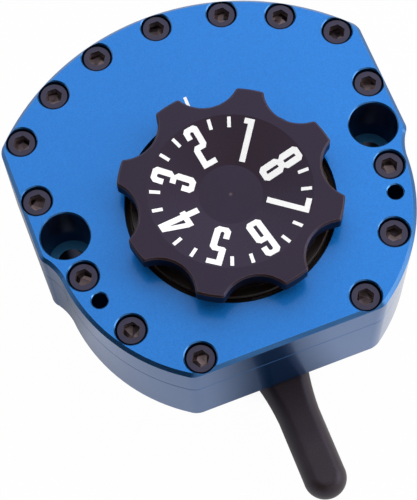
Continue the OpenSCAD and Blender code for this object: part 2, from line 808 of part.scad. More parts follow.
module knob() {
    color("dimgray") at_axis() difference() {
        union() {
            difference() {
                bevel_disc(knob_r, rim_z, knob_top_z, knob_bevel, knob_bevel);
                for (i = [0:lobes - 1]) rotate([0, 0, 90 - lobe_angle + (i + 0.5) * 360 / lobes]) scallop();
            }
            rod(knob_hub_r, disc_top_z, rim_z + cut);
        }
        translate([0, 0, dish_z]) cylinder(r1 = dish_floor_d / 2, r2 = dish_r, h = dish_depth);
        drill_point(centre_mark_r, dish_z);
        rod(boss_clear_r, disc_top_z - cut, nut_z);
        rod(nut_d / 2, disc_top_z, nut_z + nut_h);
        rod(needle_r + face_gap, nut_z, needle_top_z + travel_up + face_gap);
        ball_pockets(disc_top_z - cut, spring_top_z);
        knob_screw_holes(disc_top_z - cut);
    }
}

module ball_pockets(z0, z1) {
    for (a = ball_angles) rotate([0, 0, a]) translate([ball_track_r, 0, 0]) rod(pocket_r, z0, z1);
}

module at_knob_screws() {
    for (a = knob_screw_angles) rotate([0, 0, a])
        translate([stop_track_r, 0, recess_z + disc_gap]) children();
}

module knob_screw_holes(z0) {
    at_knob_screws() rod(knob_screw_d / 2 + run_gap, z0 - recess_z, knob_screw_len + end_gap);
}

module dial_disc() {
    foot_z = recess_z + disc_gap;
    color("black") at_axis() difference() {
        union() {
            rod(recess_r - run_gap, foot_z, flange_top_z);
            bevel_disc(disc_r, foot_z, disc_top_z, joint_bevel, 2 * joint_bevel);
        }
        rod(boss_clear_r, foot_z - cut, disc_top_z + cut);
        ball_pockets(foot_z - cut, disc_top_z + cut);
        knob_screw_holes(foot_z - cut);
        at_knob_screws() screw_cone(run_gap);
        rotate([0, 0, stop_angle]) translate([stop_track_r, 0, 0])
            rod(stop_d / 2, foot_z - cut, disc_top_z - end_gap);
    }
}

// Countersunk head, from the screw's lower face up
module screw_cone(gap) {
    head_h = (knob_screw_head_d - knob_screw_d) / 2;
    cylinder(r1 = knob_screw_head_d / 2 + gap, r2 = knob_screw_d / 2 + gap, h = head_h);
}

module knob_screws() {
    color("dimgray") at_axis() at_knob_screws() difference() {
        union() {
            screw_cone(0);
            rod(knob_screw_d / 2, 0, knob_screw_len);
        }
        hex_rod(knob_screw_d / 2, -cut, knob_screw_d / 2);
    }
}

module adjuster_nut() {
    color("goldenrod") at_axis() tube(needle_r + run_gap, nut_d / 2, nut_z, nut_z + nut_h);
}

module detent_balls() {
    color("silver") at_axis() for (a = ball_angles) rotate([0, 0, a])
        translate([ball_track_r, 0, ball_z]) sphere(r = ball_d / 2);
}

module detent_springs() {
    color("silver") at_axis() for (a = ball_angles) rotate([0, 0, a])
        translate([ball_track_r, 0, 0]) spring();
}

// Coil spring swept from rings along a helix
module spring() {
    steps = spring_turns * spring_rings;
    low = spring_z + spring_wire / 2 + run_gap;
    rise = spring_room - spring_wire - 2 * run_gap;
    points = [for (i = [0:steps]) for (j = [0:spring_sides - 1])
        let (a = 360 * i / spring_rings, b = 360 * j / spring_sides)
            let (r = spring_r + spring_wire / 2 * cos(b))
                [r * cos(a), r * sin(a), low + rise * i / steps + spring_wire / 2 * sin(b)]];
    walls = [for (i = [0:steps - 1]) for (j = [0:spring_sides - 1])
        let (k = (j + 1) % spring_sides, p = i * spring_sides, q = p + spring_sides)
            each [[p + j, q + j, p + k], [p + k, q + j, q + k]]];
    first = [for (j = [1:spring_sides - 2]) [0, j, j + 1]];
    end = steps * spring_sides;
    last = [for (j = [1:spring_sides - 2]) [end, end + j + 1, end + j]];
    polyhedron(points, concat(walls, first, last));
}

module stop_pin() {
    color("silver") at_axis() rotate([0, 0, stop_angle]) translate([stop_track_r, 0, 0])
        rod(stop_d / 2, recess_z - stop_depth + face_gap, disc_top_z - end_gap);
}

module needle() {
    color("silver") at_axis() difference() {
        union() {
            translate([0, 0, tip_z]) cylinder(r1 = tip_r / 2, r2 = tip_r, h = tip_cone_h);
            rod(tip_r, tip_z + tip_cone_h, shoulder_z + cut);
            rod(needle_r, shoulder_z, needle_top_z);
        }
        translate([-keyway_w / 2, needle_r - keyway_depth, guide_z - guide_d / 2 - travel_up - run_gap])
            cube([keyway_w, needle_r, guide_d + travel_up + travel_down + 2 * run_gap]);
    }
}

base_body();
top_cover();
cover_screws();
cover_seal();
dowel_pins();
upper_bush();
lower_bush();
shaft_seal();
seal_retainer();
fill_plug();
fill_plug_seal();
needle_seal();
needle_guide_pin();
dial_retaining_ring();
rotor();
vane_seal();
valve_seat();
link_arm();
arm_key();
arm_washer();
arm_bolt();
knob();
dial_disc();
knob_screws();
adjuster_nut();
detent_balls();
detent_springs();
stop_pin();
needle();
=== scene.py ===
import json
import math

import bmesh
import bpy
from mathutils import Matrix, Vector


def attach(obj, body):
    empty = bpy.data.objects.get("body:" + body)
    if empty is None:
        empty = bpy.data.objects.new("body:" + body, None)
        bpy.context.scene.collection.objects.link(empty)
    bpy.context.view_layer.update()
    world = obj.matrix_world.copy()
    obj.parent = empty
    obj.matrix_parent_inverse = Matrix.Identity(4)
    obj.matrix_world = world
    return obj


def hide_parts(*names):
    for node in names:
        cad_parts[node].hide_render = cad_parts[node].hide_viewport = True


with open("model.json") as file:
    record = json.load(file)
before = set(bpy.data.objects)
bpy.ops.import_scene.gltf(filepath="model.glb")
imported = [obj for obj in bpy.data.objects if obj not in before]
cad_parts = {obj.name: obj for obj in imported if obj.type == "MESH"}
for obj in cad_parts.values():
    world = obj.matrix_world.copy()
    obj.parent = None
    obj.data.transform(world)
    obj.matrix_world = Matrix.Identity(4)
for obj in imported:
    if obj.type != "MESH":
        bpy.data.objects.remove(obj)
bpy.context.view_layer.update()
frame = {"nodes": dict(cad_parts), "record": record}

# Sizes are in millimetres and angles in degrees unless a comment says otherwise
MM = 0.001
# Rotor axis, and top of the cover
AXIS_Y = -6.14
COVER_Z = 29.3
# Dish of the dial: radius and height of its edge and of its floor
DISH_EDGE = (18.5, 36.5)
DISH_FLOOR = (7.15, 34.0)
# Counterbores of the mounting holes: place from the rotor axis, and radius
BORE_AT = (37.42, 6.14)
BORE_R = 5.62
# Distance within which vertices are joined
WELD = 1e-4

UP = (0, 0, 1)
RIGHT = (1, 0, 0)

scene = bpy.context.scene
scene.view_settings.view_transform = "Standard"


def placed(name, data):
    """New object in the scene."""
    thing = bpy.data.objects.new(name, data)
    scene.collection.objects.link(thing)
    return thing


# Camera

# Azimuth, elevation and roll, and the place
CAMERA_TURN = (-17.7737, 68.2794, -3.5734)
CAMERA_PLACE = (-50.2617, -144.2613, 369.7585)
# Focal length and height of the picture in pixels
FOCAL_LENGTH = 1647.2204
PICTURE_HEIGHT = 500
# Sensor, shift as a share of the picture, and clipping distances in metres
SENSOR = 36
SHIFT_UP = 0.0009
CLIP = (0.01, 20)


def add_camera():
    azimuth, elevation, roll = (math.radians(v) for v in CAMERA_TURN)
    back = Vector((math.sin(azimuth) * math.cos(elevation),
                   -math.cos(azimuth) * math.cos(elevation),
                   math.sin(elevation)))
    level = Vector((math.cos(azimuth), math.sin(azimuth), 0))
    rise = back.cross(level)
    right = math.cos(roll) * level + math.sin(roll) * rise
    up = math.cos(roll) * rise - math.sin(roll) * level
    data = bpy.data.cameras.new("camera")
    data.sensor_width = SENSOR
    data.lens = SENSOR * FOCAL_LENGTH / PICTURE_HEIGHT
    data.shift_y = SHIFT_UP
    data.clip_start, data.clip_end = CLIP
    camera = placed("camera", data)
    turn = Matrix((right, up, back)).transposed().to_4x4()
    camera.matrix_world = Matrix.Translation(Vector(CAMERA_PLACE) * MM) @ turn
    scene.camera = camera


# Shader helpers

class Tree:
    """Shader nodes of one material or of the world."""

    def __init__(self, owner):
        owner.use_nodes = True
        self.owner = owner
        self.nodes = owner.node_tree.nodes
        self.links = owner.node_tree.links
        self.nodes.clear()

    def put(self, socket, value):
        if isinstance(value, bpy.types.NodeSocket):
            self.links.new(value, socket)
        else:
            socket.default_value = value

    def add(self, kind, values=(), **settings):
        node = self.nodes.new("ShaderNode" + kind)
        for key, value in settings.items():
            setattr(node, key, value)
        for key, value in dict(values).items():
            self.put(node.inputs[key], value)
        return node

    def math(self, operation, a, b=0.0):
        return self.add("Math", {0: a, 1: b}, operation=operation).outputs[0]

    def vector(self, operation, a, b=(0, 0, 0)):
        node = self.add("VectorMath", {0: a, 1: b}, operation=operation)
        return node.outputs["Value" if operation in ("DOT_PRODUCT", "LENGTH") else "Vector"]

    def noise(self, place, scale, detail=2.0, roughness=0.5):
        values = {"Vector": place, "Scale": scale, "Detail": detail, "Roughness": roughness}
        return self.add("TexNoise", values).outputs["Fac"]

    def span(self, value, low, high, to_low=0.0, to_high=1.0):
        """A value between two limits, taken to two others and held there."""
        values = {"Value": value, "From Min": low, "From Max": high, "To Min": to_low, "To Max": to_high}
        return self.add("MapRange", values).outputs["Result"]

    def mix(self, share, a, b):
        """Colour a, with a share of colour b; the node's sockets for colours go by number."""
        return self.add("Mix", {0: share, 6: a, 7: b}, data_type="RGBA").outputs[2]

    def ramp(self, value, stops):
        """Colour along a row of (place, colour) stops in rising order."""
        node = self.add("ValToRGB", {0: value})
        while len(node.color_ramp.elements) < len(stops):
            node.color_ramp.elements.new(0.5)
        for element, (place, colour) in zip(node.color_ramp.elements, stops):
            element.position = place
            element.color = colour
        return node.outputs["Color"]

    def bump(self, height, strength, distance, normal=None):
        node = self.add("Bump", {"Strength": strength, "Distance": distance * MM, "Height": height})
        if normal:
            self.put(node.inputs["Normal"], normal)
        return node.outputs[0]


def rgb(r, g, b):
    return (r, g, b, 1.0)


def grey(level):
    return rgb(level, level, level)


class Finish(Tree):
    """One material in millimetres about the rotor axis, with a Principled shader."""

    def __init__(self, name):
        super().__init__(bpy.data.materials.new(name))
        self.shader = self.add("BsdfPrincipled")
        out = self.add("OutputMaterial")
        self.links.new(self.shader.outputs[0], out.inputs["Surface"])
        place = self.add("TexCoord").outputs["Object"]
        axis = self.vector("SUBTRACT", place, (0, AXIS_Y * MM, 0))
        self.place = self.vector("MULTIPLY", axis, (1 / MM, 1 / MM, 1 / MM))
        flat = self.vector("MULTIPLY", self.place, (1, 1, 0))
        self.radius = self.vector("LENGTH", flat)
        self.normal = self.add("NewGeometry").outputs["Normal"]

    def set(self, **values):
        for key, value in values.items():
            self.put(self.shader.inputs[key.replace("_", " ").title().replace("Ior", "IOR")], value)

    def facing(self, way):
        """1 on faces that look a given way, 0 on those square to it."""
        return self.vector("DOT_PRODUCT", self.normal, way)

    def bores(self):
        """1 inside the two counterbored mounting holes."""
        at = self.add("SeparateXYZ", {0: self.place}).outputs
        side = self.math("SUBTRACT", self.math("ABSOLUTE", at["X"]), BORE_AT[0])
        ahead = self.math("SUBTRACT", at["Y"], BORE_AT[1])
        away = self.vector("LENGTH", self.add("CombineXYZ", {"X": side, "Y": ahead}).outputs[0])
        below = self.span(at["Z"], COVER_Z - 1.5, COVER_Z - 0.3, 1.0, 0.0)
        return self.math("MULTIPLY", self.span(away, BORE_R + 0.05, BORE_R + 0.15, 1.0, 0.0), below)

    def softened(self, width):
        """Normal with the edges rounded over a width."""
        return self.add("Bevel", {"Radius": width * MM}, samples=6).outputs[0]

    def edge_wear_and_highlight(self, body, width, share, colour):
        """A body colour with a share of another along its edges, unevenly: wear, and a painted highlight
        where edges catch the light.
        """
        bend = self.math("SUBTRACT", 1.0, self.vector("DOT_PRODUCT", self.softened(width), self.normal))
        uneven = self.span(self.noise(self.place, 0.9, 3.0), 0.3, 0.7, 0.55, 1.0)
        edges = self.math("MULTIPLY", self.span(bend, 0.015, 0.16), uneven)
        return self.mix(self.math("MULTIPLY", edges, share), body, colour)

    def open_air(self, reach):
        """1 where nothing of the same node stands close, near 0 deep in holes."""
        values = {"Distance": reach * MM}
        return self.add("AmbientOcclusion", values, samples=8, only_local=True).outputs["AO"]

    def stretched(self, along, across):
        """Coordinates for lines round the upright sides."""
        return self.vector("MULTIPLY", self.place, (along, along, across))

    def rings(self, scale):
        """Turning marks round the rotor axis."""
        line = self.add("CombineXYZ", {"X": self.radius}).outputs[0]
        return self.noise(line, scale, 3.0, 0.65)


# Finishes

def blue_anodised():
    """Lines round the sides, grain on the flat faces and a clear coat, with painted light and shade: walls
    and chamfers painted darker, chamfers round holes and edges painted lighter, gaps and holes painted dark.
    """
    m = Finish("blue_anodised")
    tilt = m.facing(UP)
    faced = m.span(tilt, 0.80, 0.97)
    upright = m.span(tilt, 0.20, 0.55, 1.0, 0.0)
    bore = m.bores()
    open_air = m.open_air(5.0)
    grain = m.noise(m.place, 3.4, 4.0, 0.75)
    tone = m.noise(m.place, 0.045, 2.0)
    lines = m.noise(m.stretched(0.12, 5.0), 1.0, 3.0, 0.6)
    speck = m.mix(faced, lines, grain)
    light = m.span(speck, 0.3, 0.7)
    flat = m.mix(light, rgb(0.005, 0.130, 0.450), rgb(0.012, 0.212, 0.665))
    flat = m.mix(m.span(tone, 0.3, 0.7, 0.0, 0.2), flat, rgb(0.006, 0.140, 0.480))
    # Walls are painted a darker blue than the top, as painted shade
    wall = m.mix(light, rgb(0.006, 0.066, 0.205), rgb(0.010, 0.088, 0.265))
    # Chamfers are painted darker as painted shade; chamfers hemmed in by the node's own faces, as round
    # holes, are painted lighter as a painted highlight
    sloped = m.mix(light, rgb(0.020, 0.104, 0.276), rgb(0.030, 0.142, 0.360))
    sloped = m.mix(m.span(open_air, 0.80, 0.96), rgb(0.065, 0.300, 0.740), sloped)
    body = m.mix(upright, m.mix(faced, sloped, flat), wall)
    # Edges painted a lighter blue: a painted highlight, with some wear
    body = m.edge_wear_and_highlight(body, 0.22, 0.3, rgb(0.060, 0.300, 0.760))
    # Painted shade in gaps and screw holes, darker with depth, then in the mounting holes, whose flat seats
    # are painted a lighter blue as painted light
    height = m.add("SeparateXYZ", {0: m.place}).outputs["Z"]
    hollow_light_and_shade = m.mix(m.span(height, COVER_Z - 2.2, COVER_Z - 0.6),
                 rgb(0.0012, 0.002, 0.005), rgb(0.010, 0.022, 0.070))
    hollow_light_and_shade = m.mix(bore, hollow_light_and_shade, rgb(0.019, 0.022, 0.064))
    hollow_light_and_shade = m.mix(m.math("MULTIPLY", bore, faced), hollow_light_and_shade, rgb(0.100, 0.430, 0.820))
    # The painted shade takes the place of the body colour close to the node's own faces and in the mounting
    # holes
    shown = m.math("MULTIPLY", m.span(open_air, 0.25, 0.75), m.math("SUBTRACT", 1.0, bore))
    m.set(base_color=m.mix(shown, hollow_light_and_shade, body), metallic=0.8, specular_tint=rgb(0.80, 0.86, 1.0))
    # More coat on the walls that look to the right
    gloss = m.span(upright, 0.0, 1.0, 0.4, 0.28)
    right = m.span(m.facing(RIGHT), 0.45, 0.75, 0.0, 0.6)
    gloss = m.math("ADD", gloss, m.math("MULTIPLY", upright, right))
    m.set(coat_weight=m.math("MULTIPLY", shown, gloss), coat_roughness=0.15, coat_ior=1.55)
    m.set(specular_ior_level=0.1)
    m.set(roughness=m.mix(faced, grey(0.26), m.span(speck, 0.2, 0.8, 0.46, 0.58)))
    m.set(normal=m.bump(speck, 0.25, 0.02), coat_normal=m.bump(grain, 0.08, 0.01))
    return m.owner


def black_anodised():
    """Turning marks on the faces, walls painted darker as painted shade, and edges painted lighter as a
    painted highlight.
    """
    m = Finish("black_anodised")
    rings = m.rings(5.5)
    cloud = m.noise(m.place, 0.11, 3.0)
    fine = m.noise(m.place, 5.0, 2.0)
    upright = m.span(m.facing(UP), 0.30, 0.55, 1.0, 0.0)
    body = m.mix(rings, rgb(0.0235, 0.0116, 0.0093), rgb(0.0315, 0.0156, 0.0125))
    body = m.mix(m.span(cloud, 0.35, 0.7, 0.0, 0.6), body, rgb(0.0244, 0.0124, 0.0106))
    # Walls painted darker, as painted shade
    body = m.mix(upright, body, rgb(0.0040, 0.0020, 0.0014))
    # Edges painted lighter, as a painted highlight
    m.set(base_color=m.edge_wear_and_highlight(body, 0.3, 0.8, rgb(0.210, 0.150, 0.120)), metallic=0.0)
    m.set(specular_ior_level=0.42, specular_tint=rgb(0.30, 0.40, 0.92))
    sheen = m.span(m.math("ADD", rings, fine), 0.7, 1.3, 0.25, 0.34)
    m.set(roughness=m.mix(upright, sheen, grey(0.55)), anisotropic=0.55)
    m.set(tangent=m.add("Tangent", direction_type="RADIAL", axis="Z").outputs[0])
    m.set(normal=m.bump(m.math("ADD", rings, m.math("MULTIPLY", fine, 0.4)), 0.16, 0.012))
    return m.owner


def black_steel():
    """Black oxide, with painted light and shade on facets deep in the sockets."""
    m = Finish("black_steel")
    fine = m.noise(m.place, 4.0, 3.0, 0.6)
    cloud = m.noise(m.place, 0.35, 2.0)
    body = m.mix(fine, rgb(0.034, 0.032, 0.052), rgb(0.056, 0.052, 0.082))
    body = m.mix(m.span(cloud, 0.35, 0.7, 0.0, 0.7), body, rgb(0.039, 0.036, 0.056))
    body = m.edge_wear_and_highlight(body, 0.15, 0.5, rgb(0.13, 0.12, 0.125))
    shown = m.span(m.open_air(2.5), 0.45, 0.95)
    upright = m.span(m.facing(UP), 0.3, 0.6, 1.0, 0.0)
    # Painted light and shade deep in the sockets: facets painted lighter and darker at random, and walls
    # painted lighter
    facet = m.add("TexVoronoi", {"Vector": m.place, "Scale": 0.55}).outputs
    hollow_light_and_shade = m.mix(m.span(facet["Color"], 0.3, 0.7),
                 rgb(0.020, 0.013, 0.013), rgb(0.170, 0.124, 0.126))
    hollow_light_and_shade = m.mix(upright, hollow_light_and_shade, rgb(0.200, 0.145, 0.152))
    m.set(base_color=m.mix(shown, hollow_light_and_shade, body))
    m.set(metallic=m.math("MAXIMUM", shown, m.span(upright, 0.0, 1.0, 1.0, 0.25)))
    m.set(roughness=m.span(fine, 0.3, 0.7, 0.32, 0.44))
    hollow = m.math("MULTIPLY", facet["Distance"], m.math("SUBTRACT", 1.0, shown))
    m.set(normal=m.bump(fine, 0.2, 0.012, m.bump(hollow, 1.0, 0.4)))
    return m.owner


def black_turned(name, shine, edge_light_and_wear):
    """Black with turning marks, more or less shiny, with wear and a painted highlight along its edges."""
    m = Finish(name)
    rings = m.rings(4.0)
    cloud = m.noise(m.place, 0.3, 2.0)
    body = m.mix(rings, rgb(0.0045, 0.0016, 0.0014), rgb(0.0105, 0.0040, 0.0034))
    body = m.mix(m.span(cloud, 0.35, 0.7, 0.0, 0.6), body, rgb(0.0055, 0.0022, 0.0020))
    body = m.edge_wear_and_highlight(body, 0.35, edge_light_and_wear, rgb(0.150, 0.108, 0.098))
    m.set(base_color=body, metallic=0.0, specular_ior_level=shine)
    m.set(roughness=m.span(cloud, 0.3, 0.7, 0.24, 0.34), normal=m.bump(rings, 0.12, 0.01))
    return m.owner


def black_arm():
    """Fine-grained black with soft edges."""
    m = Finish("black_arm")
    fine = m.noise(m.place, 3.2, 4.0, 0.6)
    cloud = m.noise(m.place, 0.14, 3.0)
    body = m.mix(m.span(fine, 0.35, 0.65), rgb(0.0170, 0.0105, 0.0098), rgb(0.0350, 0.0235, 0.0220))
    body = m.mix(m.span(cloud, 0.35, 0.7, 0.0, 0.6), body, rgb(0.0200, 0.0135, 0.0130))
    m.set(base_color=m.edge_wear_and_highlight(body, 0.3, 0.35, rgb(0.060, 0.048, 0.046)), metallic=0.0)
    m.set(specular_ior_level=0.4, specular_tint=rgb(0.62, 0.60, 0.9))
    m.set(roughness=m.span(m.math("ADD", fine, cloud), 0.7, 1.3, 0.36, 0.48))
    m.set(normal=m.bump(fine, 0.35, 0.02, m.softened(1.4)))
    return m.owner


def steel():
    """Ground steel with fine lines."""
    m = Finish("steel")
    lines = m.noise(m.stretched(0.4, 9.0), 1.0, 3.0, 0.6)
    cloud = m.noise(m.place, 0.3, 2.0)
    body = m.mix(lines, rgb(0.46, 0.46, 0.47), rgb(0.62, 0.62, 0.63))
    body = m.mix(m.span(cloud, 0.4, 0.7, 0.0, 0.5), body, rgb(0.42, 0.42, 0.44))
    m.set(base_color=m.edge_wear_and_highlight(body, 0.15, 0.5, grey(0.78)), metallic=1.0)
    m.set(roughness=m.span(lines, 0.3, 0.7, 0.24, 0.38), normal=m.bump(lines, 0.15, 0.01))
    return m.owner


def bronze():
    """Turned bearing bronze with darker patches."""
    m = Finish("bronze")
    rings = m.rings(4.0)
    cloud = m.noise(m.place, 0.4, 3.0)
    body = m.mix(rings, rgb(0.52, 0.33, 0.12), rgb(0.66, 0.46, 0.20))
    body = m.mix(m.span(cloud, 0.4, 0.7, 0.0, 0.6), body, rgb(0.42, 0.25, 0.09))
    m.set(base_color=m.edge_wear_and_highlight(body, 0.15, 0.5, rgb(0.78, 0.60, 0.32)), metallic=1.0)
    m.set(roughness=m.span(cloud, 0.3, 0.7, 0.28, 0.44), normal=m.bump(rings, 0.2, 0.012))
    return m.owner


def rubber():
    """Matt black rubber."""
    m = Finish("rubber")
    fine = m.noise(m.place, 6.0, 3.0, 0.6)
    cloud = m.noise(m.place, 0.5, 2.0)
    body = m.mix(fine, rgb(0.014, 0.014, 0.014), rgb(0.024, 0.024, 0.025))
    body = m.mix(m.span(cloud, 0.4, 0.7, 0.0, 0.5), body, rgb(0.030, 0.029, 0.028))
    m.set(base_color=m.edge_wear_and_highlight(body, 0.2, 0.4, grey(0.05)), metallic=0.0)
    m.set(roughness=m.span(fine, 0.3, 0.7, 0.62, 0.78), normal=m.bump(fine, 0.3, 0.02))
    return m.owner


def dial_print():
    """White ink."""
    m = Finish("dial_print")
    fine = m.noise(m.place, 4.0, 3.0, 0.6)
    cloud = m.noise(m.place, 0.5, 2.0)
    body = m.mix(fine, rgb(0.90, 0.90, 0.91), rgb(0.97, 0.97, 0.97))
    body = m.mix(m.span(cloud, 0.4, 0.75, 0.0, 0.4), body, rgb(0.85, 0.85, 0.87))
    m.set(base_color=body, metallic=0.0)
    m.set(roughness=m.span(fine, 0.3, 0.7, 0.45, 0.6), normal=m.bump(fine, 0.15, 0.01))
    return m.owner


def finish_nodes():
    """Gives each node the finish of its slot, or one of its own."""
    slots = (blue_anodised, black_anodised, black_steel, steel, bronze, rubber)
    by_slot = {finish.__name__: finish() for finish in slots}
    by_node = {
        "link_arm": black_arm(),
        "dial_retaining_ring": black_turned("black_ring", shine=0.05, edge_light_and_wear=0.05),
        # The disc's edges are painted lighter, as a painted highlight
        "dial_disc": black_turned("black_disc", shine=0.35, edge_light_and_wear=0.7),
    }
    for part in frame["record"]["subparts"]:
        mesh = frame["nodes"][part["node"]].data
        mesh.materials.clear()
        mesh.materials.append(by_node.get(part["node"], by_slot[part["material_slot"]]))


# Knob with rounded corners on its lobes

# Sizes of the knob: lobes and the hollows between them
LOBES = 8
KNOB_R = 25.36
KNOB_Z = (32.3, 36.5)
KNOB_BEVEL = 0.4
HOLLOW_R = 8.3
HOLLOW_AT = 29.3
FIRST_HOLLOW = 81
# Radius of the corners, and how far the block round the knob stays off its other faces
LOBE_ROUND = 0.9
CLEAR = 0.012
# How far the block goes on above and below the bevels, and below the lobes
PAST_BEVEL = 0.1
PAST_LOBES = 8
# Steps of each arc, and the bend from which an edge is sharp
CORNER_STEPS = 12
HOLLOW_STEPS = 16
RIM_STEPS = 4
SHARP = 10


def arc(centre, radius, start, end, steps):
    """Points on an arc, from one angle to another in radians."""
    turns = [start + (end - start) * i / steps for i in range(steps + 1)]
    return [(centre[0] + radius * math.cos(a), centre[1] + radius * math.sin(a)) for a in turns]


def lobed(inset):
    """Outline of the lobes with rounded corners, drawn in by an inset."""
    corner_at = KNOB_R - LOBE_ROUND
    reach = HOLLOW_R + LOBE_ROUND
    half = math.acos((corner_at ** 2 + HOLLOW_AT ** 2 - reach ** 2) / (2 * corner_at * HOLLOW_AT))
    corner = (corner_at * math.cos(half), corner_at * math.sin(half))
    lean = math.atan2(corner[1], HOLLOW_AT - corner[0])
    step = 2 * math.pi / LOBES
    period = arc((corner[0], -corner[1]), LOBE_ROUND - inset, -half, lean, CORNER_STEPS)
    period += arc((HOLLOW_AT, 0), HOLLOW_R + inset, math.pi + lean, math.pi - lean, HOLLOW_STEPS)[1:-1]
    period += arc(corner, LOBE_ROUND - inset, -lean, half, CORNER_STEPS)
    period += arc((0, 0), KNOB_R - inset, half, step - half, RIM_STEPS)[1:-1]
    points = []
    for i in range(LOBES):
        turn = math.radians(FIRST_HOLLOW) + i * step
        points += [(x * math.cos(turn) - y * math.sin(turn), x * math.sin(turn) + y * math.cos(turn))
                   for x, y in period]
    return points


def lobed_block():
    """Solid round the knob that is clear of it except at the corners of the lobes."""
    low, high = KNOB_Z
    drawn = KNOB_BEVEL + PAST_BEVEL - 2 * CLEAR
    rings = [(low - PAST_LOBES, drawn), (low - PAST_BEVEL, drawn), (low + KNOB_BEVEL - CLEAR, -CLEAR),
             (high - KNOB_BEVEL + CLEAR, -CLEAR), (high + PAST_BEVEL, drawn)]
    points = [(x, y + AXIS_Y, z) for z, inset in rings for x, y in lobed(inset)]
    count = len(points) // len(rings)
    faces = [tuple(range(count))[::-1], tuple(range(len(points) - count, len(points)))]
    for ring in range(len(rings) - 1):
        for i in range(count):
            a, b = ring * count + i, ring * count + (i + 1) % count
            faces.append((a, b, b + count, a + count))
    mesh = bpy.data.meshes.new("lobed_block")
    mesh.from_pydata(points, [], faces)
    return mesh


def welded(name, source):
    """Closed copy of a node's mesh in millimetres."""
    work = bmesh.new()
    work.from_mesh(source)
    bmesh.ops.scale(work, vec=(1 / MM, 1 / MM, 1 / MM), verts=work.verts)
    bmesh.ops.remove_doubles(work, verts=work.verts, dist=WELD)
    work.verts.index_update()
    mesh = bpy.data.meshes.new(name)
    mesh.from_pydata([v.co[:] for v in work.verts], [], [[v.index for v in f.verts] for f in work.faces])
    work.free()
    return mesh


def evaluated(thing):
    """Mesh of an object with its modifiers or its curve worked out."""
    bpy.context.view_layer.update()
    return bpy.data.meshes.new_from_object(thing.evaluated_get(bpy.context.evaluated_depsgraph_get()))


def add_knob():
    """The knob's own solid, cut down to the block with rounded corners."""
    node = frame["nodes"]["knob"]
    piece = placed("knob_rounded", welded("knob_rounded", node.data))
    block = placed("lobed_block", lobed_block())
    cut = piece.modifiers.new("round", "BOOLEAN")
    cut.operation = "INTERSECT"
    cut.solver = "EXACT"
    cut.object = block
    rounded = evaluated(piece)
    piece.modifiers.clear()
    bpy.data.objects.remove(block)
    rounded.transform(Matrix.Scale(MM, 4))
    rounded.materials.clear()
    rounded.materials.append(node.data.materials[0])
    rounded.shade_smooth()
    rounded.set_sharp_from_angle(angle=math.radians(SHARP))
    piece.data = rounded
    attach(piece, "dial")
    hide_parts("knob")


# Print on the dial and the index line

# Numerals, foot at 0 and top outward: a shift to the side, then the outline and any holes in it
NUMERALS = {
    "1": (0.05, [[(-1.1, 9.85), (1.2, 9.85), (1.2, 0), (-0.13, 0), (-0.13, 8.6), (-1.1, 8.6)]]),
    "2": (-0.1, [[(-1.85, 7.15), (-1.85, 9.15), (-1.15, 9.85), (1.0, 9.85), (1.7, 9.15), (1.7, 5.0),
                  (1.0, 4.15), (-0.4, 4.15), (-0.4, 1.25), (1.7, 1.25), (1.7, 0), (-1.8, 0),
                  (-1.8, 4.55), (-1.1, 5.4), (0.3, 5.4), (0.3, 8.35), (0.05, 8.6), (-0.3, 8.6),
                  (-0.55, 8.35), (-0.55, 7.15)]]),
    "3": (-0.15, [[(-1.9, 6.95), (-1.9, 9.1), (-1.1, 9.85), (1.05, 9.85), (1.85, 9.1), (1.85, 5.7),
                   (1.1, 4.95), (1.85, 4.2), (1.85, 0.8), (1.05, 0), (-1.1, 0), (-1.9, 0.8),
                   (-1.9, 2.75), (-0.55, 2.75), (-0.55, 1.5), (-0.3, 1.25), (0.1, 1.25), (0.35, 1.5),
                   (0.35, 4.3), (-0.9, 4.3), (-0.9, 5.6), (0.35, 5.6), (0.35, 8.35), (0.1, 8.6),
                   (-0.3, 8.6), (-0.55, 8.35), (-0.55, 6.95)]]),
    "4": (-0.45, [[(-0.45, 9.85), (1.5, 9.85), (1.5, 4.1), (2.0, 4.1), (2.0, 2.75), (1.5, 2.75),
                   (1.5, 0), (0.15, 0), (0.15, 2.75), (-2.0, 2.75), (-2.0, 4.1)],
                  [(0.15, 4.1), (0.15, 7.8), (-0.8, 4.1)]]),
    "5": (-0.5, [[(-1.85, 9.85), (1.7, 9.85), (1.7, 8.6), (-0.4, 8.6), (-0.4, 6.35), (1.05, 6.35),
                  (1.85, 5.55), (1.85, 0.8), (1.05, 0), (-1.05, 0), (-1.85, 0.8), (-1.85, 2.9),
                  (-0.5, 2.9), (-0.5, 1.5), (-0.25, 1.25), (0.1, 1.25), (0.35, 1.5), (0.35, 4.85),
                  (0.1, 5.1), (-1.3, 5.1), (-1.85, 5.5)]]),
    "6": (-0.4, [[(-1.85, 0.8), (-1.85, 9.1), (-1.1, 9.85), (1.1, 9.85), (1.85, 9.1), (1.85, 7.1),
                  (0.5, 7.1), (0.5, 8.35), (0.25, 8.6), (-0.2, 8.6), (-0.45, 8.35), (-0.45, 6.0),
                  (1.1, 6.0), (1.85, 5.25), (1.85, 0.8), (1.1, 0), (-1.1, 0)],
                 [(-0.4, 1.35), (0.4, 1.35), (0.4, 4.65), (-0.4, 4.65)]]),
    "7": (-0.35, [[(-1.8, 8.6), (-1.8, 9.85), (1.75, 9.85), (0.5, 0), (-0.85, 0), (0.3, 8.6)]]),
    "8": (0.0, [[(-1.9, 9.1), (-1.15, 9.85), (1.15, 9.85), (1.9, 9.1), (1.9, 5.75), (1.15, 5.0),
                 (1.9, 4.25), (1.9, 0.8), (1.15, 0), (-1.15, 0), (-1.9, 0.8), (-1.9, 4.25),
                 (-1.15, 5.0), (-1.9, 5.75)],
                [(-0.35, 5.75), (0.35, 5.75), (0.35, 8.6), (-0.35, 8.6)],
                [(-0.35, 1.3), (0.35, 1.3), (0.35, 4.2), (-0.35, 4.2)]]),
}
